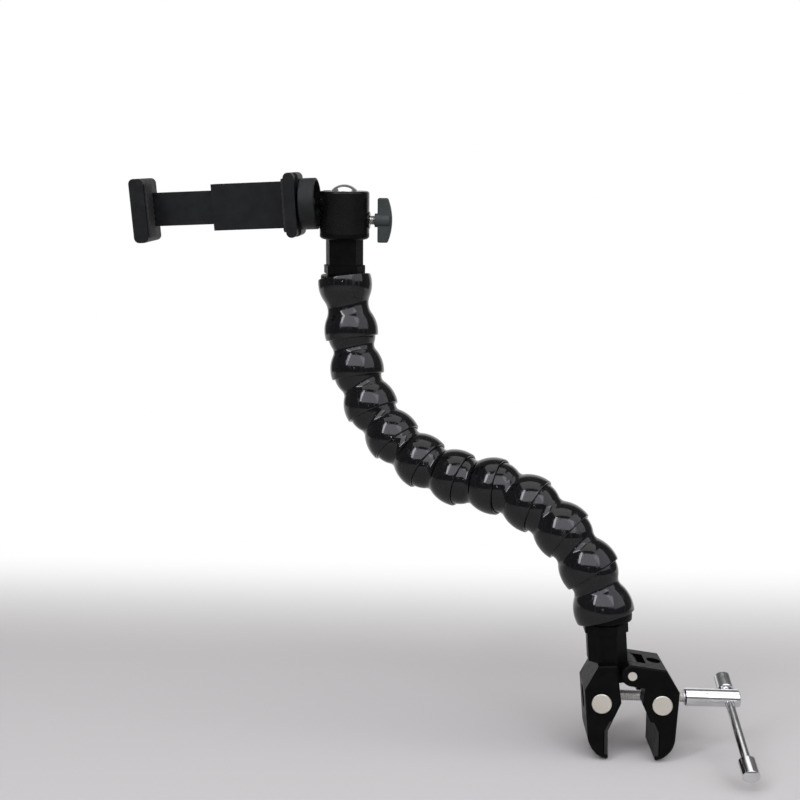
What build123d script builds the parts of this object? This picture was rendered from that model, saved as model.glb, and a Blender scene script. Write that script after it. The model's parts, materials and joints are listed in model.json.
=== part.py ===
"""Phone gooseneck holder: a claw clamp, an arm of ball-and-socket segments, a ball head and a phone clip.

The frame stands at the centre of the clamped rail: +X runs along the clamp screw towards its handle,
+Y runs along the rail and +Z is up. All lengths are millimetres and all angles are degrees.
"""

import os
from math import asin, cos, radians, sin, sqrt, tan

from build123d import *

# Fits
running_clearance = 0.05
thread_clearance = 0.03
slide_clearance = 0.15
moving_gap = 0.3

# Claw clamp: both jaws share one outline, measured from the hinge with the jaw upright
hinge_height = 32.0
jaw_tilt = 7.2
jaw_thickness = 24.0
knuckle_radius = 4.9
tongue_width = 11.4
hinge_pin_radius = 2.0
jaw_top_width = 14.4
jaw_inner_edge = 6.2
jaw_shoulder_width = 21.8
jaw_shoulder_drop = 4.5
jaw_belly_width = 22.9
jaw_belly_drop = 25.6
jaw_tip_width = 16.0
jaw_tip_drop = 37.0
jaw_tip_rise = 0.6
crotch_drop = 12.0
throat_width = 13.7
throat_drop = 24.2
claw_bulge = 1.6
jaw_edge_round = 0.6
seat_rise = 0.6
pad_run = 5.3
pad_thickness = 1.6
pad_lean = 1.4
pad_tip_margin = 1.5
pad_inset = 1.0
accessory_hole_radius = 3.2
accessory_hole_depth = 8.0
accessory_hole_x = 10.6

# Clamp screw, its two trunnions and the sliding bar handle
trunnion_x = 15.0
trunnion_drop = 11.35
trunnion_radius = 4.6
trunnion_edge = 0.3
screw_radius = 2.5
screw_tail = 6.4
screw_slot_width = 8.0
screw_slot_height = 10.6
screw_clip_radius = 3.5
screw_clip_thickness = 0.8
hub_radius = 4.0
hub_length = 24.7
hub_start = 25.3
hub_grip = 8.0
hub_edge = 0.5
bar_from_hub_end = 4.9
bar_radius = 2.0
bar_droop = 25.0
bar_free_length = 39.3
bar_cap_radius = 3.7
bar_cap_length = 9.0
bar_cap_grip = 6.0
bar_cap_edge = 0.6

# Arm segments: a bell at the lower end, a ball at the upper end, hollow right through
ball_radius = 12.2
bell_wall = 1.55
bell_peak = 2.0
rim_drop = 1.5
rim_chamfer = 0.4
waist_step = 3.2
waist_round = 4.0
bore_radius = 6.5
segment_pitch = 20.0
double_pitch = 28.5

# End posts: an octagonal collar and shaft on a ball, the same at both ends of the arm
post_length = 20.7
post_width = 17.6
lower_post_turn = 22.5
upper_post_turn = 0.0
post_bore_depth = 5.0
post_ball_height = 2.2
post_neck_radius = 8.8
collar_width = 19.5
collar_start = 3.4
collar_height = 4.1
post_x = -9.25
post_lean = 3.5
stud_radius = 3.175
stud_depth = 8.0

# Pose of the arm: its vertical plane is turned away from the clamp screw, and each
# segment's heading is measured from the vertical in that plane
arm_yaw = 22.0
segment_headings = (19.0, 36.5, 52.0, 67.5, 83.5, 71.5, 56.5, 41.0, 25.0, 10.0)
double_heading = 6.5
double_lean = 3.0
head_lean = 10.0
head_roll = -1.6
clip_roll = 3.1

# Ball head
head_radius = 12.5
head_height = 23.6
head_edge = 1.2
head_base_height = 3.0
head_base_edge = 1.0
head_bore_radius = 9.25
head_ball_radius = 9.0
stud_ball_gap = 0.9
head_ball_depth = 5.7
stem_radius = 3.0
notch_clearance = 0.4
lock_screw_drop = 8.5
lock_screw_radius = 2.4
lock_screw_tip_radius = 0.8
lock_screw_tip_x = 7.5
lock_boss_radius = 4.2
lock_boss_height = 0.3
seat_hole_radius = 3.5
seat_foot_radius = 6.0
seat_foot_height = 2.7
seat_foot_drop = 0.7
seat_cone_height = 4.4
seat_rim_height = 1.0
knob_gap = 2.9
knob_hub_radius = 3.4
knob_hub_length = 7.5
knob_wing_span = 22.0
knob_wing_inset = 1.4
knob_wing_tip = 6.4
knob_bulge = 8.6
knob_wing_thickness = 4.4
knob_edge = 0.8
knob_grip = 6.0

# Lock wheel: a hollow dish that screws along the ball's stud against the clip
wheel_radius = 12.7
wheel_gap = 1.1
wheel_width = 8.0
wheel_wall = 1.2
wheel_web = 2.0
wheel_hub_radius = 5.5
wheel_hub_height = 3.2
wheel_edge = 0.4

# Phone clip, measured from the ball's centre along the stud
phone_gap = 67.3
clip_height = 31.5
clip_corner = 2.6
clip_front = 12.0
clip_back = 8.0
clip_pad_thickness = 1.5
clip_pad_height = 26.0
clip_pad_ridges = 9
clip_pad_ridge_depth = 0.4
fixed_jaw_width = 6.3
fixed_jaw_front_width = 5.4
fixed_jaw_step = 7.0
slide_jaw_width = 7.4
tray_length = 39.0
tray_height = 23.0
tray_front = 2.0
tray_wall = 3.0
tray_floor = 2.0
cover_thickness = 1.5
tongue_length = 54.0
tongue_groove_depth = 4.6
tongue_groove_width = 4.6
tongue_groove_spacing = 9.2
tongue_groove_start = 12.0
spring_radius = 2.0
spring_wire_radius = 0.35
insert_radius = 4.5
insert_length = 6.0
stud_reach = 5.5
cover_screw_radius = 0.9
cover_screw_head_radius = 1.6
cover_screw_head_height = 0.8
cover_screw_length = 4.0
cover_screw_spacing_x = 28.0


def shifted(frame, x=0, y=0, z=0):
    """The frame moved along its own axes."""
    return Plane(frame.from_local_coords(Vector(x, y, z)), x_dir=frame.x_dir, z_dir=frame.z_dir)


def front_plane(frame, depth=0):
    """Sketch plane with the frame's x and z as its axes, seen from the front."""
    return Plane(frame.from_local_coords(Vector(0, depth, 0)), x_dir=frame.x_dir, z_dir=-frame.y_dir)


def side_plane(frame, along=0):
    """Sketch plane across the frame's x axis, with the frame's y and z as its axes."""
    return Plane(frame.from_local_coords(Vector(along, 0, 0)), x_dir=frame.y_dir, z_dir=frame.x_dir)


def spin_axis(frame):
    return Axis(frame.origin, frame.z_dir)


def tilted_frame(origin, tilt):
    """Frame turned about +Y so that its top leans towards -X."""
    turn = radians(tilt)
    return Plane(origin, x_dir=(cos(turn), 0, sin(turn)), z_dir=(-sin(turn), 0, cos(turn)))


def save(builder, name):
    builder.part.label = name
    export_step(builder.part, f"parts/{name}.step")


os.makedirs("parts", exist_ok=True)

hinge_point = Vector(0, 0, hinge_height)
fixed_frame = tilted_frame(hinge_point, jaw_tilt)
moving_frame = tilted_frame(hinge_point, -jaw_tilt)
jaw_bottom = jaw_tip_drop - jaw_tip_rise


# Claw jaws
def jaw_face(side, inner_top, outer_top):
    """Outline of one jaw from its top edge round the claw and back up its throat."""
    crotch = (side * jaw_inner_edge, -crotch_drop)
    throat = (side * throat_width, -throat_drop)
    belly = (side * jaw_belly_width, -jaw_belly_drop)
    tip = (side * jaw_tip_width, -jaw_tip_drop)
    inner_tip = (side * (throat_width + pad_lean), -jaw_bottom)
    claw_middle = (
        side * ((jaw_belly_width + jaw_tip_width) / 2 + claw_bulge),
        -(jaw_belly_drop + jaw_tip_drop) / 2 - claw_bulge,
    )
    with BuildLine() as outline:
        Polyline(
            tip,
            inner_tip,
            throat,
            crotch,
            (side * jaw_inner_edge, inner_top),
            (side * jaw_top_width, outer_top),
            (side * jaw_shoulder_width, -jaw_shoulder_drop),
            belly,
        )
        ThreePointArc(belly, claw_middle, tip)
    make_face(outline.edges())


def pad_face(side, mode=Mode.ADD):
    """Outline of the rubber pad let into one jaw's throat."""
    throat = Vector(side * throat_width, -throat_drop)
    crotch = Vector(side * jaw_inner_edge, -crotch_drop)
    inner_tip = Vector(side * (throat_width + pad_lean), -jaw_bottom)
    start = throat + (crotch - throat).normalized() * pad_run
    end = inner_tip + (throat - inner_tip).normalized() * pad_tip_margin
    back = Vector(side * pad_thickness, 0)
    with BuildLine() as outline:
        Polyline(start, throat, end, end + back, throat + back, start + back, close=True)
    make_face(outline.edges(), mode=mode)


def knuckle_face(side):
    """Rounded hinge knuckle with the web that carries it."""
    web = jaw_inner_edge + pad_thickness
    Circle(knuckle_radius)
    with Locations((side * web / 2, 0)):
        Rectangle(web, 2 * knuckle_radius)


def cut_screw_slot(frame, side):
    """Slot right through a jaw in which the clamp screw swings."""
    with BuildSketch(side_plane(frame)) as slot:
        with Locations((0, -trunnion_drop)):
            SlotOverall(screw_slot_height, screw_slot_width, rotation=90)
    extrude(slot.sketch, amount=side * 2 * jaw_belly_width, mode=Mode.SUBTRACT)


def round_front_edges(builder, frame):
    """Breaks the long edges of a jaw's front and back faces."""
    depth = jaw_thickness / 2
    rims = builder.edges().filter_by(
        lambda e: abs(abs((e.center() - frame.origin).dot(frame.y_dir)) - depth) < 0.01
        and e.length > jaw_top_width / 2
        and e.geom_type == GeomType.LINE
    )
    chamfer(rims, jaw_edge_round)


seat_point = fixed_frame.from_local_coords(Vector(post_x, 0, knuckle_radius + seat_rise))
post_foot = tilted_frame(seat_point, post_lean)
seat_slope = tan(radians(jaw_tilt - post_lean))


def seat_height(x):
    """Height of the fixed jaw's top, which is square to the post that stands on it."""
    return knuckle_radius + seat_rise + (post_x - x) * seat_slope


with BuildPart() as fixed_jaw:
    with BuildSketch(front_plane(fixed_frame)):
        jaw_face(-1, seat_height(-jaw_inner_edge), seat_height(-jaw_top_width))
        pad_face(-1, Mode.SUBTRACT)
        with Locations((-trunnion_x, -trunnion_drop)):
            Circle(trunnion_radius + running_clearance, mode=Mode.SUBTRACT)
    extrude(amount=jaw_thickness / 2, both=True)
    with BuildSketch(front_plane(fixed_frame)):
        knuckle_face(-1)
    extrude(amount=tongue_width / 2, both=True)
    with BuildSketch(front_plane(fixed_frame)):
        Circle(hinge_pin_radius)
    extrude(amount=jaw_thickness / 2, both=True, mode=Mode.SUBTRACT)
    with BuildSketch(post_foot):
        Circle(stud_radius + thread_clearance)
    extrude(amount=-stud_depth, mode=Mode.SUBTRACT)
    cut_screw_slot(fixed_frame, -1)
    round_front_edges(fixed_jaw, fixed_frame)
save(fixed_jaw, "fixed_jaw")

with BuildPart() as moving_jaw:
    lug_width = jaw_thickness / 2 - tongue_width / 2 - moving_gap
    with BuildSketch(front_plane(moving_frame)):
        jaw_face(1, knuckle_radius, knuckle_radius)
        pad_face(1, Mode.SUBTRACT)
        with Locations((trunnion_x, -trunnion_drop)):
            Circle(trunnion_radius + running_clearance, mode=Mode.SUBTRACT)
    extrude(amount=jaw_thickness / 2, both=True)
    with BuildSketch(front_plane(moving_frame, -jaw_thickness / 2)):
        knuckle_face(1)
    extrude(amount=-lug_width)
    with BuildSketch(front_plane(moving_frame, jaw_thickness / 2)):
        knuckle_face(1)
    extrude(amount=lug_width)
    with BuildSketch(front_plane(moving_frame)):
        Circle(hinge_pin_radius + running_clearance)
    extrude(amount=jaw_thickness / 2, both=True, mode=Mode.SUBTRACT)
    with BuildSketch(shifted(moving_frame, x=accessory_hole_x, z=knuckle_radius)):
        Circle(accessory_hole_radius)
    extrude(amount=-accessory_hole_depth, mode=Mode.SUBTRACT)
    cut_screw_slot(moving_frame, 1)
    round_front_edges(moving_jaw, moving_frame)
save(moving_jaw, "moving_jaw")

for side, frame, name in ((-1, fixed_frame, "fixed_jaw_pad"), (1, moving_frame, "moving_jaw_pad")):
    with BuildPart() as jaw_pad:
        with BuildSketch(front_plane(frame)):
            pad_face(side)
        extrude(amount=jaw_thickness / 2, both=True)
    save(jaw_pad, name)

with BuildPart() as hinge_pin:
    with BuildSketch(front_plane(fixed_frame)):
        Circle(hinge_pin_radius)
    extrude(amount=jaw_thickness / 2, both=True)
save(hinge_pin, "hinge_pin")


# Clamp screw and handle
left_pivot = fixed_frame.from_local_coords(Vector(-trunnion_x, 0, -trunnion_drop))
right_pivot = moving_frame.from_local_coords(Vector(trunnion_x, 0, -trunnion_drop))
screw_frame = Plane(Vector(0, 0, left_pivot.Z), x_dir=(1, 0, 0), z_dir=(0, 0, 1))

for pivot, name in ((left_pivot, "left_trunnion"), (right_pivot, "right_trunnion")):
    pivot_frame = shifted(screw_frame, x=pivot.X)
    with BuildPart() as trunnion:
        with BuildSketch(front_plane(pivot_frame)):
            Circle(trunnion_radius)
        extrude(amount=jaw_thickness / 2, both=True)
        chamfer(trunnion.edges(), trunnion_edge)
        with BuildSketch(side_plane(pivot_frame)):
            Circle(screw_radius + running_clearance)
        extrude(amount=2 * trunnion_radius, both=True, mode=Mode.SUBTRACT)
    save(trunnion, name)

screw_end = left_pivot.X - screw_tail
with BuildPart() as clamp_screw:
    with BuildSketch(side_plane(screw_frame, screw_end)):
        Circle(screw_radius)
    extrude(amount=hub_start + hub_grip - screw_end)
save(clamp_screw, "clamp_screw")

with BuildPart() as screw_clips:
    clip_face = trunnion_radius + moving_gap
    for start in (left_pivot.X - clip_face - screw_clip_thickness, left_pivot.X + clip_face):
        with BuildSketch(side_plane(screw_frame, start)):
            Circle(screw_clip_radius)
            Circle(screw_radius, mode=Mode.SUBTRACT)
        extrude(amount=screw_clip_thickness)
save(screw_clips, "screw_clips")

bar_x = hub_start + hub_length - bar_from_hub_end
droop = radians(bar_droop)
bar_frame = Plane(
    screw_frame.from_local_coords(Vector(bar_x, 0, 0)),
    x_dir=(1, 0, 0),
    z_dir=(0, -cos(droop), -sin(droop)),
)
bar_stop = hub_radius + moving_gap

with BuildPart() as handle_hub:
    with BuildSketch(side_plane(screw_frame, hub_start)):
        Circle(hub_radius)
    extrude(amount=hub_length)
    chamfer(handle_hub.edges(), hub_edge)
    with BuildSketch(side_plane(screw_frame, hub_start)):
        Circle(screw_radius)
    extrude(amount=hub_grip, mode=Mode.SUBTRACT)
    with BuildSketch(bar_frame):
        Circle(bar_radius + running_clearance)
    extrude(amount=2 * hub_radius, both=True, mode=Mode.SUBTRACT)
save(handle_hub, "handle_hub")

with BuildPart() as tommy_bar:
    with BuildSketch(shifted(bar_frame, z=-bar_stop - bar_cap_grip)):
        Circle(bar_radius)
    extrude(amount=bar_free_length + 2 * bar_cap_grip)
save(tommy_bar, "tommy_bar")

for start, direction, name in (
    (-bar_stop, -1, "upper_bar_cap"),
    (bar_free_length - bar_stop, 1, "lower_bar_cap"),
):
    with BuildPart() as bar_cap:
        with BuildSketch(shifted(bar_frame, z=start)):
            Circle(bar_cap_radius)
        extrude(amount=direction * bar_cap_length)
        chamfer(bar_cap.edges(), bar_cap_edge)
        with BuildSketch(shifted(bar_frame, z=start)):
            Circle(bar_radius)
        extrude(amount=direction * bar_cap_grip, mode=Mode.SUBTRACT)
    save(bar_cap, name)


# End posts of the arm
def ball_end_height(radius):
    """Height above the ball's centre at which the arm's bore breaks out of a ball of that radius."""
    return sqrt(radius**2 - bore_radius**2)


def make_post(frame, turn, name):
    """Ball-ended octagonal post; the frame stands in the ball and its z axis runs along the post."""
    ball_edge = (sqrt(ball_radius**2 - post_ball_height**2), post_ball_height)
    with BuildPart() as post:
        with BuildSketch(front_plane(frame)) as section:
            with BuildLine() as outline:
                ThreePointArc((0, -ball_radius), (ball_radius, 0), ball_edge)
                Polyline(
                    ball_edge,
                    (post_neck_radius, post_ball_height),
                    (post_neck_radius, collar_start),
                    (0, collar_start),
                    (0, -ball_radius),
                )
            make_face(outline.edges())
        revolve(section.sketch, axis=spin_axis(frame))
        with BuildSketch(shifted(frame, z=collar_start)) as collar:
            RegularPolygon(collar_width / 2, 8, major_radius=False, rotation=turn)
        extrude(collar.sketch, amount=collar_height)
        with BuildSketch(shifted(frame, z=collar_start)) as shaft:
            RegularPolygon(post_width / 2, 8, major_radius=False, rotation=turn)
        extrude(shaft.sketch, amount=post_length - collar_start)
        with BuildSketch(shifted(frame, z=post_bore_depth)) as bore:
            Circle(bore_radius)
        extrude(bore.sketch, amount=-2 * ball_radius, mode=Mode.SUBTRACT)
        with BuildSketch(shifted(frame, z=post_length)) as stud_hole:
            Circle(stud_radius + thread_clearance)
        extrude(stud_hole.sketch, amount=-stud_depth, mode=Mode.SUBTRACT)
    save(post, name)


def make_stud(frame, reach, name):
    """Headless stud as deep below the frame's origin as its tapped hole, with the given reach above it."""
    with BuildPart() as stud:
        with BuildSketch(shifted(frame, z=-stud_depth)):
            Circle(stud_radius)
        extrude(amount=stud_depth + reach)
    save(stud, name)


lower_ball = shifted(post_foot, z=post_length)
lower_post_frame = Plane(lower_ball.origin, x_dir=lower_ball.x_dir, z_dir=-lower_ball.z_dir)
make_post(lower_post_frame, lower_post_turn, "lower_post")
make_stud(post_foot, stud_depth, "lower_stud")


# Arm segments
yaw = radians(arm_yaw)
reach_direction = Vector(-cos(yaw), sin(yaw), 0)
viewer_direction = Vector(-sin(yaw), -cos(yaw), 0)


def heading_frame(origin, heading, lean=0):
    """Frame whose z axis leans by the heading in the arm's plane and by the lean out of it."""
    rise, tip = radians(heading), radians(lean)
    along = Vector(0, 0, cos(rise)) + reach_direction * sin(rise)
    axis = along * cos(tip) + viewer_direction * sin(tip)
    return Plane(origin, x_dir=viewer_direction.cross(axis), z_dir=axis)


def between(start, end, distance):
    """Point at that distance from the start on the way to the end."""
    span = Vector(*end) - Vector(*start)
    reached = Vector(*start) + span.normalized() * distance
    return (reached.X, reached.Y)


socket_radius = ball_radius + running_clearance
bell_radius = socket_radius + bell_wall
waist_radius = bell_radius - waist_step


def waist_centre():
    """Centre of the hollow arc that touches the ball and leaves the waist at its radius."""
    radius = waist_radius + waist_round
    drop = sqrt((ball_radius + waist_round) ** 2 - radius**2)
    return (radius, segment_pitch - drop)


# The barrel's arc peaks at the bell's radius and runs into the waist's arc without a kink
waist_x, waist_z = waist_centre()
barrel_round = (waist_x - bell_radius) ** 2 + (waist_z - bell_peak) ** 2 - waist_round**2
barrel_round = barrel_round / (2 * waist_step)
barrel_centre = (bell_radius - barrel_round, bell_peak)
rim_radius = barrel_centre[0] + sqrt(barrel_round**2 - (bell_peak + rim_drop) ** 2)
rim_lip = rim_drop - rim_chamfer

inner_lip = (sqrt(socket_radius**2 - rim_lip**2), -rim_lip)
inner_rim = (inner_lip[0] + rim_chamfer, -rim_drop)
outer_rim = (rim_radius, -rim_drop)
peak = (bell_radius, bell_peak)
equator = (socket_radius, 0)
bore_start = (bore_radius, ball_end_height(socket_radius))


def make_segment(frame, name):
    """Single segment: bell round the frame's origin and ball one pitch above it."""
    shoulder = between(barrel_centre, waist_centre(), barrel_round)
    neck = between((0, segment_pitch), waist_centre(), ball_radius)
    ball_top = (bore_radius, segment_pitch + ball_end_height(ball_radius))
    with BuildPart() as segment:
        with BuildSketch(front_plane(frame)) as section:
            with BuildLine() as outline:
                Polyline(inner_lip, inner_rim, outer_rim)
                ThreePointArc(outer_rim, peak, shoulder)
                ThreePointArc(shoulder, (waist_radius, waist_z), neck)
                ThreePointArc(neck, (ball_radius, segment_pitch), ball_top)
                Line(ball_top, bore_start)
                ThreePointArc(bore_start, equator, inner_lip)
            make_face(outline.edges())
        revolve(section.sketch, axis=spin_axis(frame))
    save(segment, name)


joint_point = lower_ball.origin
for number, heading in enumerate(segment_headings, start=1):
    segment_frame = heading_frame(joint_point, heading)
    make_segment(segment_frame, f"segment_{number:02d}")
    joint_point = segment_frame.from_local_coords(Vector(0, 0, segment_pitch))

double_frame = heading_frame(joint_point, double_heading, double_lean)
middle = double_pitch / 2
half_span = waist_radius - barrel_centre[0]
double_round = half_span**2 + (middle - bell_peak) ** 2 - barrel_round**2
double_round = double_round / (2 * waist_step)
with BuildPart() as double_socket:
    shoulder = between(barrel_centre, (waist_radius + double_round, middle), barrel_round)
    with BuildSketch(front_plane(double_frame)):
        with BuildLine():
            Line((bore_radius, middle), bore_start)
            ThreePointArc(bore_start, equator, inner_lip)
            Polyline(inner_lip, inner_rim, outer_rim)
            ThreePointArc(outer_rim, peak, shoulder)
            RadiusArc(shoulder, (waist_radius, middle), double_round)
            Line((waist_radius, middle), (bore_radius, middle))
        make_face()
    revolve(axis=spin_axis(double_frame))
    mirror(about=shifted(double_frame, z=middle))
save(double_socket, "double_socket")


# Ball head
top_joint = double_frame.from_local_coords(Vector(0, 0, double_pitch))
roll, lean = radians(head_roll), radians(head_lean)
head_frame = Plane(
    top_joint,
    x_dir=(cos(roll), 0, sin(roll)),
    z_dir=(-sin(roll) * cos(lean), -sin(lean), cos(roll) * cos(lean)),
)
make_post(head_frame, upper_post_turn, "upper_post")
head_foot = shifted(head_frame, z=post_length)
ball_height = head_height - head_ball_depth
make_stud(head_foot, ball_height - head_ball_radius - stud_ball_gap, "upper_stud")

clip_turn = radians(clip_roll)
ball_frame = Plane(
    head_foot.from_local_coords(Vector(0, 0, ball_height)),
    x_dir=head_foot.x_dir * cos(clip_turn) + head_foot.z_dir * sin(clip_turn),
    z_dir=head_foot.z_dir * cos(clip_turn) - head_foot.x_dir * sin(clip_turn),
)
seat_radius = head_ball_radius + running_clearance
lock_screw_height = ball_height - lock_screw_drop
seat_foot_top = lock_screw_height - seat_foot_drop
spigot_top = seat_foot_top - seat_foot_height
knob_start = head_radius + knob_gap
wheel_start = head_radius + wheel_gap


with BuildPart() as head_base:
    with BuildSketch(head_foot):
        Circle(head_radius)
    extrude(amount=head_base_height)
    foot_rim = head_base.faces().sort_by(spin_axis(head_foot))[0].edges()
    chamfer(foot_rim, head_base_edge)
    with BuildSketch(shifted(head_foot, z=head_base_height)):
        Circle(head_bore_radius)
    extrude(amount=spigot_top - head_base_height)
    with BuildSketch(head_foot):
        Circle(stud_radius + thread_clearance)
    extrude(amount=spigot_top, mode=Mode.SUBTRACT)
save(head_base, "head_base")

with BuildPart() as head_housing:
    mouth = sqrt(seat_radius**2 - head_ball_depth**2)
    half_arc = asin(head_ball_depth / seat_radius) / 2
    arc_middle = (seat_radius * cos(half_arc), ball_height + seat_radius * sin(half_arc))
    with BuildSketch(front_plane(head_foot)):
        with BuildLine():
            Polyline(
                (seat_radius, ball_height),
                (head_bore_radius, ball_height),
                (head_bore_radius, head_base_height),
                (head_radius, head_base_height),
                (head_radius, head_height - head_edge),
            )
            RadiusArc(
                (head_radius, head_height - head_edge),
                (head_radius - head_edge, head_height),
                -head_edge,
            )
            Line((head_radius - head_edge, head_height), (mouth, head_height))
            ThreePointArc((mouth, head_height), arc_middle, (seat_radius, ball_height))
        make_face()
    revolve(axis=spin_axis(head_foot))
    boss_frame = shifted(head_foot, z=lock_screw_height)
    with BuildSketch(side_plane(boss_frame, head_bore_radius + head_edge)):
        Circle(lock_boss_radius)
    extrude(amount=head_radius + lock_boss_height - head_bore_radius - head_edge)
    with BuildSketch(side_plane(boss_frame)):
        Circle(lock_screw_radius + running_clearance)
    extrude(amount=2 * head_radius, mode=Mode.SUBTRACT)
    with BuildSketch(side_plane(ball_frame)):
        Circle(stem_radius + notch_clearance)
        with Locations((0, head_ball_radius / 2)):
            Rectangle(2 * (stem_radius + notch_clearance), head_ball_radius)
    extrude(amount=-2 * head_radius, mode=Mode.SUBTRACT)
save(head_housing, "head_housing")

with BuildPart() as ball_seat:
    slide_radius = head_bore_radius - running_clearance
    rim_start = seat_foot_top + seat_cone_height
    rim_top = rim_start + seat_rim_height
    cup_rim = sqrt(seat_radius**2 - (ball_height - rim_top) ** 2)
    cup_bottom = ball_height - sqrt(seat_radius**2 - seat_hole_radius**2)
    middle_radius = (cup_rim + seat_hole_radius) / 2
    with BuildSketch(front_plane(head_foot)):
        with BuildLine():
            Polyline(
                (seat_hole_radius, cup_bottom),
                (seat_hole_radius, spigot_top),
                (seat_foot_radius, spigot_top),
                (seat_foot_radius, seat_foot_top),
                (slide_radius, rim_start),
                (slide_radius, rim_top),
                (cup_rim, rim_top),
            )
            ThreePointArc(
                (cup_rim, rim_top),
                (middle_radius, ball_height - sqrt(seat_radius**2 - middle_radius**2)),
                (seat_hole_radius, cup_bottom),
            )
        make_face()
    revolve(axis=spin_axis(head_foot))
save(ball_seat, "ball_seat")

lock_frame = shifted(head_foot, z=lock_screw_height)
with BuildPart() as lock_screw:
    cone_end = lock_screw_tip_x + lock_screw_radius - lock_screw_tip_radius
    with BuildSketch(side_plane(lock_frame, cone_end)):
        Circle(lock_screw_radius)
    extrude(amount=knob_start + knob_grip - cone_end)
    with BuildSketch(side_plane(lock_frame, cone_end)):
        Circle(lock_screw_radius)
    with BuildSketch(side_plane(lock_frame, lock_screw_tip_x)):
        Circle(lock_screw_tip_radius)
    loft()
save(lock_screw, "lock_screw")

with BuildPart() as lock_knob:
    half_span = knob_wing_span / 2
    with BuildSketch(front_plane(lock_frame)):
        with BuildLine():
            Polyline(
                (knob_start + knob_wing_tip, half_span),
                (knob_start + knob_wing_inset, half_span),
                (knob_start + knob_wing_inset, -half_span),
                (knob_start + knob_wing_tip, -half_span),
            )
            ThreePointArc(
                (knob_start + knob_wing_tip, -half_span),
                (knob_start + knob_bulge, 0),
                (knob_start + knob_wing_tip, half_span),
            )
        make_face()
    extrude(amount=knob_wing_thickness / 2, both=True)
    fillet(lock_knob.edges(), knob_edge)
    with BuildSketch(side_plane(lock_frame, knob_start)):
        Circle(knob_hub_radius)
    extrude(amount=knob_hub_length)
    with BuildSketch(side_plane(lock_frame, knob_start)):
        Circle(lock_screw_radius)
    extrude(amount=knob_grip, mode=Mode.SUBTRACT)
save(lock_knob, "lock_knob")

clip_end = wheel_start + wheel_width + moving_gap
stud_start = wheel_start + wheel_width - wheel_web - wheel_hub_height - moving_gap
with BuildPart() as ball_stud:
    with BuildSketch(front_plane(ball_frame)):
        with BuildLine():
            ThreePointArc((0, -head_ball_radius), (head_ball_radius, 0), (0, head_ball_radius))
            Line((0, head_ball_radius), (0, -head_ball_radius))
        make_face()
    revolve(axis=spin_axis(ball_frame))
    with BuildSketch(side_plane(ball_frame)):
        Circle(stem_radius)
    extrude(amount=-stud_start)
    with BuildSketch(side_plane(ball_frame, -stud_start)):
        Circle(stud_radius)
    extrude(amount=stud_start - clip_end - stud_reach)
save(ball_stud, "ball_stud")

with BuildPart() as lock_wheel:
    web_face = wheel_start + wheel_width - wheel_web
    with BuildSketch(side_plane(ball_frame, -wheel_start)):
        Circle(wheel_radius)
    extrude(amount=-wheel_width)
    chamfer(lock_wheel.edges(), wheel_edge)
    with BuildSketch(side_plane(ball_frame, -wheel_start)):
        Circle(wheel_radius - wheel_wall)
    extrude(amount=wheel_web - wheel_width, mode=Mode.SUBTRACT)
    with BuildSketch(side_plane(ball_frame, -web_face)):
        Circle(wheel_hub_radius)
    extrude(amount=wheel_hub_height)
    with BuildSketch(side_plane(ball_frame, -wheel_start)):
        Circle(stud_radius + running_clearance)
    extrude(amount=-2 * wheel_width, mode=Mode.SUBTRACT)
save(lock_wheel, "lock_wheel")


# Phone clip
def corner_box(low, high, mode=Mode.ADD):
    """Box between two corners given in the clip's frame."""
    size = [b - a for a, b in zip(low, high)]
    corner = shifted(ball_frame, *low)
    with BuildSketch(corner) as base:
        Rectangle(size[0], size[1], align=Align.MIN)
    extrude(base.sketch, amount=size[2], mode=mode)


def rounded_jaw(low_x, high_x, front, back):
    """Upright jaw block with rounded corners, from its front to its back."""
    middle = shifted(ball_frame, x=(low_x + high_x) / 2)
    with BuildSketch(front_plane(middle, back)) as block:
        RectangleRounded(high_x - low_x, clip_height, clip_corner)
    extrude(block.sketch, amount=back - front)


def make_grip_pad(face_x, side, name):
    """Rubber pad whose gripping face carries a row of fine upright ridges."""
    half = clip_pad_height / 2
    pitch = clip_pad_height / clip_pad_ridges
    ridge_x = face_x + side * clip_pad_ridge_depth
    crests = [(ridge_x, -half)]
    for ridge in range(clip_pad_ridges):
        crests.append((face_x, -half + (ridge + 0.5) * pitch))
        crests.append((ridge_x, -half + (ridge + 1) * pitch))
    back_x = face_x + side * clip_pad_thickness
    with BuildPart() as pad:
        with BuildSketch(front_plane(ball_frame, -tray_front - pad_inset)):
            with BuildLine():
                Polyline(*crests, (back_x, half), (back_x, -half), close=True)
            make_face()
        extrude(amount=clip_front - tray_front - 2 * pad_inset)
    save(pad, name)


fixed_grip = -clip_end - fixed_jaw_width - clip_pad_thickness
slide_grip = fixed_grip - phone_gap
fixed_root = fixed_grip + clip_pad_thickness
slide_root = slide_grip - clip_pad_thickness
tray_end = fixed_root - tray_length
tray_back = clip_back - cover_thickness
channel_half = tray_height / 2 - tray_wall
channel_front = tray_floor - tray_front
channel_end = fixed_root - tray_floor
cover_screw_x = (tray_end + channel_end) / 2
cover_screw_z = tray_height / 2 - tray_wall / 2
insert_frame = shifted(ball_frame, x=-clip_end)


def cover_screw_spots():
    return GridLocations(cover_screw_spacing_x, 2 * cover_screw_z, 2, 2)


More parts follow.
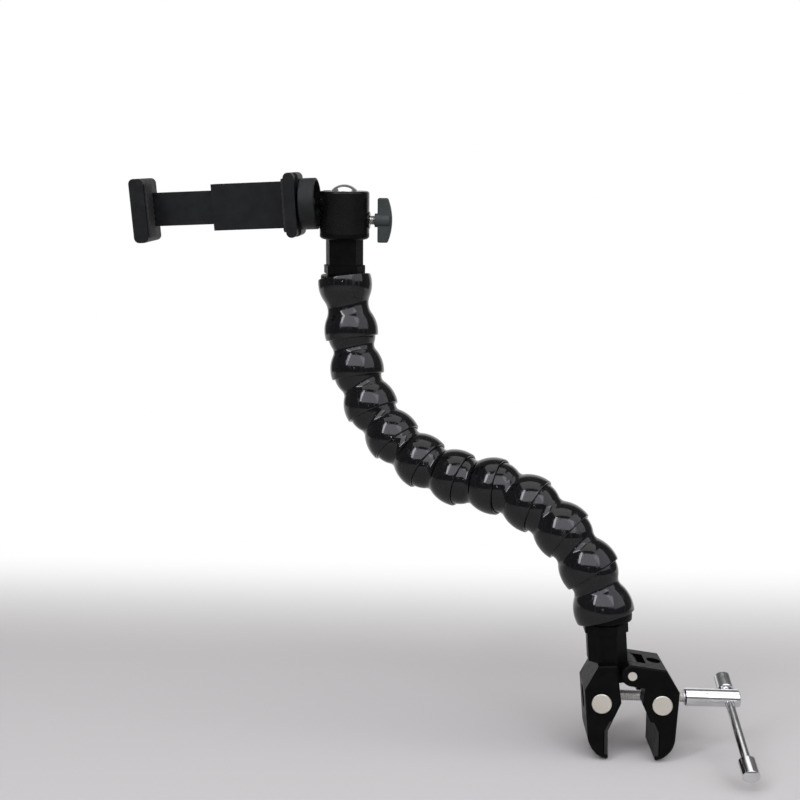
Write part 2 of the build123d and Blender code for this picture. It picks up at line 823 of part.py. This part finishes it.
with BuildPart() as clip_body:
    step_y = fixed_jaw_step - clip_front
    rounded_jaw(fixed_root, fixed_root + fixed_jaw_front_width, -clip_front, step_y)
    rounded_jaw(fixed_root, -clip_end, step_y, clip_back)
    corner_box(
        (tray_end, -tray_front, -tray_height / 2),
        (fixed_root + tray_wall, tray_back, tray_height / 2),
    )
    corner_box(
        (tray_end, channel_front, -channel_half),
        (channel_end, tray_back, channel_half),
        Mode.SUBTRACT,
    )
    with BuildSketch(side_plane(insert_frame)):
        Circle(insert_radius)
    extrude(amount=-insert_length, mode=Mode.SUBTRACT)
    with BuildSketch(front_plane(shifted(ball_frame, x=cover_screw_x), tray_back)):
        with cover_screw_spots():
            Circle(cover_screw_radius)
    extrude(amount=cover_screw_length, mode=Mode.SUBTRACT)
save(clip_body, "clip_body")

with BuildPart() as clip_insert:
    with BuildSketch(side_plane(insert_frame)):
        Circle(insert_radius)
        Circle(stud_radius + running_clearance, mode=Mode.SUBTRACT)
    extrude(amount=-insert_length)
save(clip_insert, "clip_insert")

with BuildPart() as clip_cover:
    corner_box((tray_end, tray_back, -tray_height / 2), (fixed_root, clip_back, tray_height / 2))
    with BuildSketch(front_plane(shifted(ball_frame, x=cover_screw_x), clip_back)):
        with cover_screw_spots():
            Circle(cover_screw_head_radius)
    extrude(amount=cover_screw_head_height, mode=Mode.SUBTRACT)
    with BuildSketch(front_plane(shifted(ball_frame, x=cover_screw_x), clip_back)):
        with cover_screw_spots():
            Circle(cover_screw_radius)
    extrude(amount=clip_back, mode=Mode.SUBTRACT)
save(clip_cover, "clip_cover")

with BuildPart() as cover_screws:
    with BuildSketch(front_plane(shifted(ball_frame, x=cover_screw_x), clip_back)):
        with cover_screw_spots():
            Circle(cover_screw_head_radius)
    extrude(amount=cover_screw_head_height)
    with BuildSketch(front_plane(shifted(ball_frame, x=cover_screw_x), clip_back)):
        with cover_screw_spots():
            Circle(cover_screw_radius)
    extrude(amount=cover_thickness + cover_screw_length)
save(cover_screws, "cover_screws")

with BuildPart() as clip_slider:
    tongue_half = channel_half - slide_clearance
    tongue_front = channel_front + slide_clearance
    tongue_back = tray_back - slide_clearance
    groove_front = tongue_back - tongue_groove_depth
    rounded_jaw(slide_root - slide_jaw_width, slide_root, -clip_front, clip_back)
    corner_box(
        (slide_root - slide_jaw_width / 2, tongue_front, -tongue_half),
        (slide_root + tongue_length, tongue_back, tongue_half),
    )
    for side in (-1, 1):
        groove_low = side * tongue_groove_spacing / 2 - tongue_groove_width / 2
        corner_box(
            (slide_root + tongue_groove_start, groove_front, groove_low),
            (slide_root + tongue_length, tongue_back, groove_low + tongue_groove_width),
            Mode.SUBTRACT,
        )
save(clip_slider, "clip_slider")

make_grip_pad(fixed_grip, 1, "clip_fixed_pad")
make_grip_pad(slide_grip, -1, "clip_slider_pad")

spring_start = slide_root + tongue_groove_start
spring_length = channel_end - spring_start
for side, name in ((-1, "lower_clip_spring"), (1, "upper_clip_spring")):
    coil_frame = shifted(
        ball_frame,
        x=spring_start,
        y=tongue_back - tongue_groove_depth / 2,
        z=side * tongue_groove_spacing / 2,
    )
    with BuildPart() as clip_spring:
        with BuildSketch(side_plane(coil_frame)):
            Circle(spring_radius)
            Circle(spring_radius - 2 * spring_wire_radius, mode=Mode.SUBTRACT)
        extrude(amount=spring_length)
    save(clip_spring, name)
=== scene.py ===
import json
import math

import bpy
from mathutils import Matrix, Vector


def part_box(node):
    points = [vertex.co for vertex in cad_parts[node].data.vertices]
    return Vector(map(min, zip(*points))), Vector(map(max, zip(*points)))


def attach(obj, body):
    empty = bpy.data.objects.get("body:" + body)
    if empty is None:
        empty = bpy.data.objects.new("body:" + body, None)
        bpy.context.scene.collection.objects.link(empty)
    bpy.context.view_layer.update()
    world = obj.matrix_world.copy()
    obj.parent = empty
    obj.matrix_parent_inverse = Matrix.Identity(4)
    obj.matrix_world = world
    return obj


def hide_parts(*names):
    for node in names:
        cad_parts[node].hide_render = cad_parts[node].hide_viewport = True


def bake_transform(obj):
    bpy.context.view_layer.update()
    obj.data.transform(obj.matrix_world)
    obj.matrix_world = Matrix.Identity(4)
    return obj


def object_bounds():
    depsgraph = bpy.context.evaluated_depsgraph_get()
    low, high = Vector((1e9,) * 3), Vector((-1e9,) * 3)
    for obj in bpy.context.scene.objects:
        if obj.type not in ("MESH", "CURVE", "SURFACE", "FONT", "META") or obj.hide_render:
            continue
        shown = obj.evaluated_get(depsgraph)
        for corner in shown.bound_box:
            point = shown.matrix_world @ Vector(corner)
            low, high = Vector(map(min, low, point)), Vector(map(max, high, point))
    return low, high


# Looks of the phone gooseneck holder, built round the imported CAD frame. The CAD nodes keep their shapes and
# get softened edges and finishes. The turned arm segments, the ball, the screw threads and the spring coils
# are made here and replace their plain CAD nodes. Lengths are in millimetres, and in metres where a comment
# says so or where Blender takes them.
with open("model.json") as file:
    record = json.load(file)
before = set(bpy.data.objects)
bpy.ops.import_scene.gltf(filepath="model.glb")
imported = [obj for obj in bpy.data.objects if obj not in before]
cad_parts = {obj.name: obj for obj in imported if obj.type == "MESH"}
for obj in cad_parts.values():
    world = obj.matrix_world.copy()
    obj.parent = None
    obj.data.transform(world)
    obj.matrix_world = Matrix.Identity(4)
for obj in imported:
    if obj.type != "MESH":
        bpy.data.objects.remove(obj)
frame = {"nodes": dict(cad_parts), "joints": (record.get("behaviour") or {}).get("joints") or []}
cad_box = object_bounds()
nodes = frame["nodes"]
joints = {joint["name"]: joint for joint in frame["joints"]}
scene = bpy.context.scene
MM = 0.001  # metres
CORE = 0.001  # radius that closes a turned section at its axis


# Shader nodes
def node(mat, kind, **values):
    """New shader node; each value sets the input socket of that name, or else the node's own setting."""
    made = mat.node_tree.nodes.new(kind)
    for key, value in values.items():
        if key in made.inputs:
            made.inputs[key].default_value = value
        else:
            setattr(made, key, value)
    return made


def link(mat, source, target):
    mat.node_tree.links.new(source, target)


def noise(mat, scale, detail, stretch=(1, 1, 1)):
    """Noise in the object's own metres; scale is features per metre, and stretch multiplies it by axis."""
    coords = node(mat, "ShaderNodeTexCoord")
    mapping = node(mat, "ShaderNodeMapping", Scale=stretch)
    made = node(mat, "ShaderNodeTexNoise", Scale=scale, Detail=detail, Roughness=0.55)
    link(mat, coords.outputs["Object"], mapping.inputs["Vector"])
    link(mat, mapping.outputs["Vector"], made.inputs["Vector"])
    return made.outputs["Fac"]


def map_range(mat, source, limits, results, kind="LINEAR"):
    """Output that runs between two results while the source runs between two limits."""
    made = node(mat, "ShaderNodeMapRange", interpolation_type=kind)
    made.inputs["From Min"].default_value, made.inputs["From Max"].default_value = limits
    made.inputs["To Min"].default_value, made.inputs["To Max"].default_value = results
    link(mat, source, made.inputs["Value"])
    return made.outputs["Result"]


def maths(mat, operation, first, second):
    """Output of one step of arithmetic; each side is a socket or a number."""
    made = node(mat, "ShaderNodeMath", operation=operation)
    for socket, value in zip(made.inputs, (first, second)):
        if isinstance(value, (int, float)):
            socket.default_value = value
        else:
            link(mat, value, socket)
    return made.outputs["Value"]


# Materials
def new_material(name, colour, roughness, metallic=0.0):
    mat = bpy.data.materials.new(name)
    mat.use_nodes = True
    shader = mat.node_tree.nodes["Principled BSDF"]
    shader.inputs["Base Color"].default_value = (*colour, 1)
    shader.inputs["Roughness"].default_value = roughness
    shader.inputs["Metallic"].default_value = metallic
    return mat, shader


def tint(mat, source, target, colours):
    """Clouds of two colours."""
    ramp = node(mat, "ShaderNodeValToRGB")
    for element, position, colour in zip(ramp.color_ramp.elements, (0.35, 0.65), colours):
        element.position = position
        element.color = (*colour, 1)
    link(mat, source, ramp.inputs["Fac"])
    link(mat, ramp.outputs["Color"], target)


def uneven(mat, source, target, values):
    """Spreads the middle of a texture over two values of a socket."""
    link(mat, map_range(mat, source, (0.3, 0.7), values), target)


def bump(mat, source, shader, strength, depth):
    made = node(mat, "ShaderNodeBump", Strength=strength, Distance=depth)
    link(mat, source, made.inputs["Height"])
    link(mat, made.outputs["Normal"], shader.inputs["Normal"])


def plastic(name, colours, roughness, grain, depth, specular=0.5):
    """Moulded or painted surface; grain is in bumps per metre, and their depth is in metres."""
    mat, shader = new_material(name, colours[1], roughness[1])
    shader.inputs["Specular IOR Level"].default_value = specular
    tint(mat, noise(mat, scale=180, detail=4), shader.inputs["Base Color"], colours)
    uneven(mat, noise(mat, scale=420, detail=5), shader.inputs["Roughness"], roughness)
    bump(mat, noise(mat, scale=grain, detail=2), shader, strength=0.35, depth=depth)
    return mat


def metal(name, colours, roughness, stretch, depth, metallic=1.0):
    """Metal with fine marks; stretch packs them closer by axis, and their depth is in metres."""
    mat, shader = new_material(name, colours[1], roughness[1], metallic)
    tint(mat, noise(mat, scale=150, detail=4), shader.inputs["Base Color"], colours)
    uneven(mat, noise(mat, scale=500, detail=5, stretch=stretch), shader.inputs["Roughness"], roughness)
    bump(mat, noise(mat, scale=1800, detail=2, stretch=stretch), shader, strength=0.25, depth=depth)
    return mat


def overlay(mat, target, kind, share, value):
    """Mixes a value over what feeds a socket, by a share from 0 to 1."""
    mix = node(mat, "ShaderNodeMix", data_type=kind)
    factor, plain, worn = [socket for socket in mix.inputs if socket.enabled]
    mixed = [socket for socket in mix.outputs if socket.enabled][0]
    link(mat, share, factor)
    link(mat, target.links[0].from_socket, plain)
    worn.default_value = value
    link(mat, mixed, target)


def add_wear(mat, scratch_roughness, dust_colour):
    """Fine upright scratches that dull the gloss, and specks of dust."""
    shader = mat.node_tree.nodes["Principled BSDF"]
    scratches = noise(mat, scale=700, detail=3, stretch=(1, 1, 0.05))
    scratched = map_range(mat, scratches, (0.55, 0.67), (0, 1))
    overlay(mat, shader.inputs["Roughness"], "FLOAT", scratched, scratch_roughness)
    dusty = map_range(mat, noise(mat, scale=2600, detail=1), (0.69, 0.75), (0, 1))
    overlay(mat, shader.inputs["Base Color"], "RGBA", dusty, (*dust_colour, 1))


arm_gloss = plastic(
    "arm_gloss", [(0.0012, 0.0012, 0.0018), (0.0026, 0.0026, 0.0032)], (0.06, 0.13),
    grain=240, depth=0.000025, specular=0.38,
)
add_wear(arm_gloss, scratch_roughness=0.3, dust_colour=(0.035, 0.035, 0.036))
black_paint = plastic(
    "black_paint", [(0.0015, 0.0016, 0.0015), (0.003, 0.0031, 0.003)], (0.32, 0.44),
    grain=2600, depth=0.00003, specular=0.06,
)
head_paint = plastic(
    "head_paint", [(0.0016, 0.0018, 0.0018), (0.0032, 0.0036, 0.0035)], (0.22, 0.3),
    grain=2600, depth=0.00001, specular=0.16,
)
dark_plastic = plastic(
    "dark_plastic", [(0.005, 0.0056, 0.0058), (0.0085, 0.0094, 0.0098)], (0.42, 0.55),
    grain=3200, depth=0.00004, specular=0.16,
)
wheel_plastic = plastic(
    "wheel_plastic", [(0.0085, 0.0095, 0.0095), (0.013, 0.0145, 0.0143)], (0.45, 0.6),
    grain=3000, depth=0.00004, specular=0.16,
)
knob_plastic = plastic(
    "knob_plastic", [(0.026, 0.03, 0.029), (0.035, 0.04, 0.039)], (0.5, 0.62),
    grain=3000, depth=0.00004, specular=0.2,
)
rubber = plastic(
    "rubber", [(0.008, 0.008, 0.008), (0.015, 0.015, 0.015)], (0.62, 0.8),
    grain=2200, depth=0.00005, specular=0.35,
)
seat_plastic = plastic(
    "seat_plastic", [(0.68, 0.67, 0.63), (0.76, 0.75, 0.71)], (0.4, 0.5),
    grain=1500, depth=0.00002,
)
chrome = metal(
    "chrome", [(0.62, 0.62, 0.63), (0.72, 0.72, 0.73)], (0.1, 0.2),
    stretch=(1, 1, 1), depth=0.000006,
)
bright_steel = metal(
    "bright_steel", [(0.5, 0.49, 0.47), (0.6, 0.59, 0.57)], (0.22, 0.34),
    stretch=(1, 1, 4), depth=0.000012,
)
screw_steel = metal(
    "screw_steel", [(0.62, 0.61, 0.58), (0.76, 0.75, 0.72)], (0.34, 0.46),
    stretch=(1, 1, 4), depth=0.00001, metallic=0.65,
)
nickel = metal(
    "nickel", [(0.72, 0.69, 0.6), (0.76, 0.735, 0.655)], (0.28, 0.36),
    stretch=(3, 1, 1), depth=0.000006,
)
brass = metal(
    "brass", [(0.5, 0.36, 0.13), (0.62, 0.46, 0.18)], (0.25, 0.38),
    stretch=(1, 1, 3), depth=0.00001,
)


# Pieces made here
def joint_place(name):
    """Where a joint stands at rest, in metres."""
    return Vector(joints[name]["pos_m"])


def joint_axis(name):
    return Vector(joints[name]["axis"])


def axis_matrix(origin, axis, across):
    """Matrix with z along the axis and x as near as can be to across."""
    z = Vector(axis).normalized()
    x = Vector(across)
    x = (x - z * x.dot(z)).normalized()
    y = z.cross(x)
    turn = Matrix((x, y, z)).transposed().to_4x4()
    return Matrix.Translation(Vector(origin)) @ turn


def polar(radius, angle, height):
    """Point about the z axis, turned into metres; the angle is in radians."""
    return Vector((radius * math.cos(angle), radius * math.sin(angle), height)) * MM


def span(name, origin, axis):
    """Lowest and highest reach of a CAD node along an axis, from an origin in metres."""
    along = [(v.co - Vector(origin)).dot(Vector(axis)) / MM for v in nodes[name].data.vertices]
    return min(along), max(along)


def add_mesh(name, points, faces, material):
    """Smooth mesh object; its points are in metres."""
    mesh = bpy.data.meshes.new(name)
    mesh.from_pydata(points, [], faces)
    mesh.validate()
    obj = bpy.data.objects.new(name, mesh)
    scene.collection.objects.link(obj)
    mesh.materials.append(material)
    for face in mesh.polygons:
        face.use_smooth = True
    return obj


def lathe(name, section, matrix, material, steps=96, sharp=40):
    """Closed section of (radius, height) turned about the matrix's z axis; sharp is in degrees."""
    points, faces = [], []
    count = len(section)
    for step in range(steps):
        angle = 2 * math.pi * step / steps
        points += [matrix @ polar(radius, angle, height) for radius, height in section]
    for step in range(steps):
        here, there = step * count, (step + 1) % steps * count
        for i in range(count):
            after = (i + 1) % count
            faces.append((here + i, there + i, there + after, here + after))
    obj = add_mesh(name, points, faces, material)
    obj.data.set_sharp_from_angle(angle=math.radians(sharp))
    return obj


def tube_faces(rings, around):
    """Faces of a tube whose points run round ring after ring, with both ends closed."""
    faces = []
    for ring in range(rings):
        for i in range(around):
            a = ring * around + i
            b = ring * around + (i + 1) % around
            faces.append((a, b, b + around, a + around))
    faces.append(tuple(reversed(range(around))))
    faces.append(tuple(range(rings * around, (rings + 1) * around)))
    return faces


def arc(centre, radius, start, end, count):
    """Points on an arc in the section plane; angles in degrees from the radius direction."""
    made = []
    for i in range(count + 1):
        angle = math.radians(start + (end - start) * i / count)
        made.append((centre[0] + radius * math.cos(angle), centre[1] + radius * math.sin(angle)))
    return made


def slope(start, end):
    """Angle in degrees of the way from one section point to another."""
    return math.degrees(math.atan2(end[1] - start[1], end[0] - start[0]))


# Arm segments: a socket bell, a hollow waist arc and a ball, all on one axis
ball_radius, socket_radius, bore = 12.2, 12.25, 6.5
bell_radius, bell_peak, waist_radius, waist_round = 13.8, 2.0, 10.6, 4.0
rim_drop, rim_chamfer = 1.5, 0.4
rim_flat, rim_nick, rim_turn = 0.3, 0.09, 1.3  # eased outer edge of the rim; the turn is in degrees
pitch, double_length = 20.0, 28.5

waist_x = waist_radius + waist_round
waist_z = pitch - math.sqrt((ball_radius + waist_round) ** 2 - waist_x**2)
barrel_round = (waist_x - bell_radius) ** 2 + (waist_z - bell_peak) ** 2 - waist_round**2
barrel_round /= 2 * (bell_radius - waist_radius)
barrel_x = bell_radius - barrel_round


def bell_section(neck_x, neck_z):
    """Bell from where the bore meets the socket, round the rim and up the barrel to the hollow neck arc."""
    lip = rim_drop - rim_chamfer
    inner = math.sqrt(socket_radius**2 - lip**2)
    rim_angle = -math.degrees(math.asin((bell_peak + rim_drop) / barrel_round))
    rim = barrel_x + barrel_round * math.cos(math.radians(rim_angle))
    shoulder = slope((barrel_x, bell_peak), (neck_x, neck_z))
    top = math.degrees(math.acos(bore / socket_radius))
    bottom = -math.degrees(math.asin(lip / socket_radius))
    section = arc((0, 0), socket_radius, top, bottom, count=22)
    section.append((inner + rim_chamfer, -rim_drop))
    section.append((rim - rim_flat, -rim_drop))
    section.append((rim - rim_nick, -rim_drop + rim_nick))
    section += arc((barrel_x, bell_peak), barrel_round, rim_angle + rim_turn, shoulder, count=30)
    return section


def single_section():
    """Bell, waist and ball."""
    shoulder = slope((waist_x, waist_z), (barrel_x, bell_peak))
    neck = slope((waist_x, waist_z), (0, pitch))
    section = bell_section(waist_x, waist_z)
    section += arc((waist_x, waist_z), waist_round, shoulder + 360, neck, count=14)[1:]
    start = slope((0, pitch), (waist_x, waist_z))
    top = math.degrees(math.acos(bore / ball_radius))
    return section + arc((0, pitch), ball_radius, start, top, count=30)[1:]


def double_section():
    """Two bells back to back."""
    middle = double_length / 2
    neck_round = (waist_radius - barrel_x) ** 2 + (middle - bell_peak) ** 2 - barrel_round**2
    neck_round /= 2 * (bell_radius - waist_radius)
    neck_x = waist_radius + neck_round
    shoulder = slope((neck_x, middle), (barrel_x, bell_peak))
    lower = bell_section(neck_x, middle)
    lower += arc((neck_x, middle), neck_round, shoulder + 360, 180, count=12)[1:]
    upper = [(radius, double_length - height) for radius, height in reversed(lower[:-1])]
    return lower + upper


arm_joints = ["arm_turn", "bend_02", "sway_03", "bend_04", "sway_05", "bend_06"]
arm_joints += ["sway_07", "bend_08", "sway_09", "bend_10", "sway_11", "head_turn"]
centres = [joint_place(name) for name in arm_joints]
arm_names = [f"segment_{i:02d}" for i in range(1, 11)] + ["double_socket"]
for i, name in enumerate(arm_names):
    placed = axis_matrix(centres[i], centres[i + 1] - centres[i], (1, 0, 0))
    section = double_section() if name == "double_socket" else single_section()
    piece = lathe(name + "_turned", section, placed, arm_gloss)
    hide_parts(name)
    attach(piece, name)


# Threaded screws
def threaded_rod(name, matrix, reach, material, radius, lead, depth, plain=()):
    """Rod along the matrix's z axis with a helical thread, left plain between the given heights."""
    steps, rows = 32, 7  # points round the rod, and rings to each turn of thread
    run_out, sharp = 0.4, 50  # length cut down to the thread's root at each end; angle in degrees
    start, end = reach
    rings = int((end - start) / lead * rows)
    points = []
    for ring in range(rings + 1):
        height = start + (end - start) * ring / rings
        for i in range(steps):
            phase = (height / lead - i / steps) % 1
            cut = depth * (1 - abs(2 * phase - 1))
            if any(low <= height <= high for low, high in plain):
                cut = 0
            if height - start < run_out or end - height < run_out:
                cut = depth
            points.append(matrix @ polar(radius - cut, 2 * math.pi * i / steps, height))
    obj = add_mesh(name, points, tube_faces(rings, steps), material)
    obj.data.set_sharp_from_angle(angle=math.radians(sharp))
    return obj


clip_stretch, hub_stretch = 6.2, 8.4  # plain past the left trunnion's middle, and inside the handle's hub
screw_axis = -joint_axis("handle_turn")
screw_origin = joint_place("handle_turn")
low, high = span("clamp_screw", screw_origin, screw_axis)
placed = axis_matrix(screw_origin, screw_axis, (0, 1, 0))
left_x = (joint_place("left_trunnion_pivot") - screw_origin).dot(screw_axis) / MM
screw = threaded_rod(
    "clamp_screw_thread", placed, (low, high), screw_steel, radius=2.5, lead=0.8, depth=0.42,
    plain=[(low, left_x + clip_stretch), (high - hub_stretch, high)],
)
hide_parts("clamp_screw")
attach(screw, "handle")

tip_flat, tip_radius = 0.8, 2.0  # radii
tip_cone, thread_start, tip_length = 1.2, 1.7, 2.2  # heights above the tip; the thread starts inside it
lock_axis = -joint_axis("lock_knob_turn")
lock_origin = joint_place("lock_knob_turn")
low, high = span("lock_screw", lock_origin, lock_axis)
placed = axis_matrix(lock_origin, lock_axis, (0, 1, 0))
reach = (low + thread_start, high)
lock_rod = threaded_rod("lock_screw_thread", placed, reach, bright_steel, radius=2.4, lead=0.8, depth=0.4)
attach(lock_rod, "lock_knob")
section = [(CORE, low), (tip_flat, low), (tip_radius, low + tip_cone)]
section += [(tip_radius, low + tip_length), (CORE, low + tip_length)]
lock_tip = lathe("lock_screw_tip", section, placed, bright_steel, steps=32)
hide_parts("lock_screw")
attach(lock_tip, "lock_knob")

# Ball and its stud
head_ball, stud_neck, shank_chamfer = 9.0, 3.0, 2.8  # radii
shank_end, shank_top = 15.9, 16.2  # heights above the ball's middle
fillet_out, fillet_rise, fillet_top, fillet_turn = 0.12, 0.18, 0.5, 1.5  # where the neck leaves the ball
pole_angle = -89  # degrees; below this the section closes on its axis
ball_origin = joint_place("ball_tilt")
stud_axis = joint_axis("clip_turn")
high = span("ball_stud", ball_origin, stud_axis)[1]
placed = axis_matrix(ball_origin, stud_axis, (0, 0, 1))
ball_edge = math.sqrt(head_ball**2 - stud_neck**2)
edge_angle = math.degrees(math.atan2(ball_edge, stud_neck))
section = [(CORE, -head_ball)] + arc((0, 0), head_ball, pole_angle, edge_angle - fillet_turn, count=48)
section += [(stud_neck + fillet_out, ball_edge + fillet_rise), (stud_neck, ball_edge + fillet_top)]
section += [(stud_neck, shank_end), (shank_chamfer, shank_top), (CORE, shank_top)]
ball = lathe("ball_turned", section, placed, chrome, sharp=35)
reach = (shank_end, high)
stud_rod = threaded_rod("ball_stud_thread", placed, reach, chrome, radius=3.175, lead=1.27, depth=0.6)
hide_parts("ball_stud")
for piece in (ball, stud_rod):
    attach(piece, "ball_stud")


# Springs: a coil that stretches between its two ends
def coil(name, matrix, low, high, material):
    """Wire wound about the matrix's z axis between two heights."""
    turns, rings_per_turn, around = 44, 14, 6
    wire_radius, coil_radius = 0.35, 1.62
    rings = turns * rings_per_turn
    points = []
    for ring in range(rings + 1):
        share = ring / rings
        height = low + wire_radius + (high - low - 2 * wire_radius) * share
        for i in range(around):
            turn = 2 * math.pi * i / around
            radius = coil_radius + wire_radius * math.cos(turn)
            local = polar(radius, 2 * math.pi * turns * share, height + wire_radius * math.sin(turn))
            points.append(matrix @ local)
    return add_mesh(name, points, tube_faces(rings, around), material)


slide_axis = joint_axis("jaw_slide")
for name in ("lower_clip_spring", "upper_clip_spring"):
    corner_low, corner_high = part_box(name)
    middle = (Vector(corner_low) + Vector(corner_high)) / 2
    low, high = span(name, middle, slide_axis)
    piece = coil(name + "_coil", axis_matrix(middle, slide_axis, (0, 0, 1)), low, high, nickel)
    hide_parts(name)
    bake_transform(piece)


# CAD nodes that stay: softened edges, smooth curves and a finish
def dress(obj, material, bevel):
    mesh = obj.data
    mesh.materials.clear()
    mesh.materials.append(material)
    if "custom_normal" in mesh.attributes:
        mesh.attributes.remove(mesh.attributes["custom_normal"])
    for face in mesh.polygons:
        face.use_smooth = True
    weld = obj.modifiers.new("weld", "WELD")
    weld.merge_threshold = 1e-6
    if bevel:
        edge = obj.modifiers.new("edge", "BEVEL")
        edge.width = bevel * MM
        edge.segments = 2
        edge.limit_method = "ANGLE"
        edge.angle_limit = math.radians(32)
        edge.harden_normals = False
    normals = obj.modifiers.new("normals", "WEIGHTED_NORMAL")
    normals.keep_sharp = False


# Nodes that aren't named here are dark plastic
finish_groups = [
    (black_paint, ["fixed_jaw", "moving_jaw", "lower_post", "upper_post", "head_base"]),
    (head_paint, ["head_housing"]),
    (rubber, ["fixed_jaw_pad", "moving_jaw_pad", "clip_fixed_pad", "clip_slider_pad"]),
    (chrome, ["handle_hub", "tommy_bar", "upper_bar_cap", "lower_bar_cap"]),
    (bright_steel, ["screw_clips", "lower_stud", "upper_stud", "cover_screws"]),
    (nickel, ["hinge_pin", "left_trunnion", "right_trunnion"]),
    (wheel_plastic, ["lock_wheel"]),
    (knob_plastic, ["lock_knob"]),
    (seat_plastic, ["ball_seat"]),
    (brass, ["clip_insert"]),
]
finish = {name: material for material, names in finish_groups for name in names}
usual_bevel = 0.25
bevels = {
    "hinge_pin": 0.2, "left_trunnion": 0, "right_trunnion": 0, "screw_clips": 0.1, "cover_screws": 0.15,
    "fixed_jaw_pad": 0.3, "moving_jaw_pad": 0.3, "clip_body": 0.8, "clip_slider": 0.8, "lock_knob": 0.3,
    "clip_fixed_pad": 0.12, "clip_slider_pad": 0.12, "lower_post": 0.35, "upper_post": 0.35,
}
for name, obj in nodes.items():
    if not obj.hide_render:
        dress(obj, finish.get(name, dark_plastic), bevels.get(name, usual_bevel))


# Stage, in metres
def stage_material(glow_x, glow_z):
    """Pale diffuse floor that turns white behind the object and runs up into a white glow on the wall."""
    white_start, white_full = 0.1, 0.36  # along Y
    glow_full, glow_end = 1.22, 1.7  # distances from the glow's middle
    mat, shader = new_material("pale_floor", (0.48, 0.47, 0.455), 0.9)
    shader.inputs["Specular IOR Level"].default_value = 0.0
    path = node(mat, "ShaderNodeLightPath")
    seen = maths(mat, "MAXIMUM", path.outputs["Is Camera Ray"], path.outputs["Is Glossy Ray"])
    seen = maths(mat, "MAXIMUM", seen, path.outputs["Is Transmission Ray"])
    place = node(mat, "ShaderNodeSeparateXYZ")
    link(mat, node(mat, "ShaderNodeNewGeometry").outputs["Position"], place.inputs["Vector"])
    aside = maths(mat, "SUBTRACT", place.outputs["X"], glow_x)
    above = maths(mat, "SUBTRACT", place.outputs["Z"], glow_z)
    squares = maths(mat, "ADD", maths(mat, "MULTIPLY", aside, aside), maths(mat, "MULTIPLY", above, above))
    distance = maths(mat, "POWER", squares, 0.5)
    plain = map_range(mat, place.outputs["Y"], (white_start, white_full), (1, 0), "SMOOTHSTEP")
    glow = map_range(mat, distance, (glow_full, glow_end), (1, 0), "SMOOTHSTEP")
    share = maths(mat, "MULTIPLY", glow, maths(mat, "SUBTRACT", 1.0, plain))
    share = maths(mat, "MULTIPLY", seen, share)
    white = node(mat, "ShaderNodeEmission", Color=(1, 1, 1, 1), Strength=1.0)
    mixed = node(mat, "ShaderNodeMixShader")
    link(mat, share, mixed.inputs["Fac"])
    link(mat, shader.outputs["BSDF"], mixed.inputs[1])
    link(mat, white.outputs["Emission"], mixed.inputs[2])
    link(mat, mixed.outputs["Shader"], mat.node_tree.nodes["Material Output"].inputs["Surface"])
    return mat


floor_height = cad_box[0][2] - MM  # a millimetre below the part
front, wall, wall_top, half_width = -2.0, 1.6, 2.4, 2.5
bend, bend_steps = 0.4, 12
section = [(front, 0.0)]
for i in range(bend_steps + 1):
    angle = math.radians(90 * i / bend_steps)
    section.append((wall - bend + bend * math.sin(angle), bend - bend * math.cos(angle)))
section.append((wall, wall_top))
points = [(x, y, floor_height + z) for y, z in section for x in (-half_width, half_width)]
faces = [(2 * i, 2 * i + 1, 2 * i + 3, 2 * i + 2) for i in range(len(section) - 1)]
floor = add_mesh("floor_sweep", points, faces, stage_material(glow_x=-0.24, glow_z=0.05))


# Light: windows in front of the object, a ceiling, and a spark for the small bright glints
def panel_light(name, azimuth, elevation, size, radiance, colour=(1, 1, 1)):
    """Lamp that faces the object from a right-hand azimuth off the front; a radiance of 1 is white.

    The angles are in degrees, and the size is a width and a height in metres.
    """
    aim, distance = Vector((-0.08, 0.03, 0.16)), 1.4  # metres
    data = bpy.data.lights.new(name, "AREA")
    data.shape = "RECTANGLE"
    data.size, data.size_y = size
    data.energy = radiance * math.pi * size[0] * size[1]
    data.color = colour
    obj = bpy.data.objects.new(name, data)
    scene.collection.objects.link(obj)
    turn, rise = math.radians(azimuth), math.radians(elevation)
    away = Vector((math.sin(turn) * math.cos(rise), -math.cos(turn) * math.cos(rise), math.sin(rise)))
    obj.location = aim + away * distance
    obj.rotation_euler = (-away).to_track_quat("-Z", "Y").to_euler()


window_tint = (0.93, 0.92, 1)
panel_light("window_edge", -41, 38, (0.17, 1.05), 11.5, window_tint)
panel_light("window", 0, 38, (1.95, 1.05), 3.2, window_tint)
panel_light("side_window", 62, 35, (1.35, 1.3), 1.7, window_tint)
panel_light("ceiling", 0, 88, (1.4, 0.9), 1.5)
panel_light("spark", -6, 8, (0.03, 0.03), 65)

world = bpy.data.worlds.new("room")
world.use_nodes = True
scene.world = world
background = world.node_tree.nodes["Background"]
background.inputs["Color"].default_value = (1, 1, 1, 1)
background.inputs["Strength"].default_value = 0.18

# Camera, as fitted to the photograph
focal_length, image_width = 950, 800  # pixels
sensor_width = 36
eye_place = (-0.070, -0.435, 0.187)  # metres
camera = bpy.data.cameras.new("photo_camera")
camera.sensor_width = sensor_width
camera.lens = sensor_width * focal_length / image_width
eye = bpy.data.objects.new("photo_camera", camera)
scene.collection.objects.link(eye)
forward = Vector((-0.0816, 0.9940, -0.0734)).normalized()
right = Vector((0.9967, 0.0818, 0.0))
right = (right - forward * right.dot(forward)).normalized()
up = right.cross(forward)
turned = Matrix((right, up, -forward)).transposed().to_4x4()
eye.matrix_world = Matrix.Translation(eye_place) @ turned
scene.camera = eye

scene.view_settings.view_transform = "Standard"
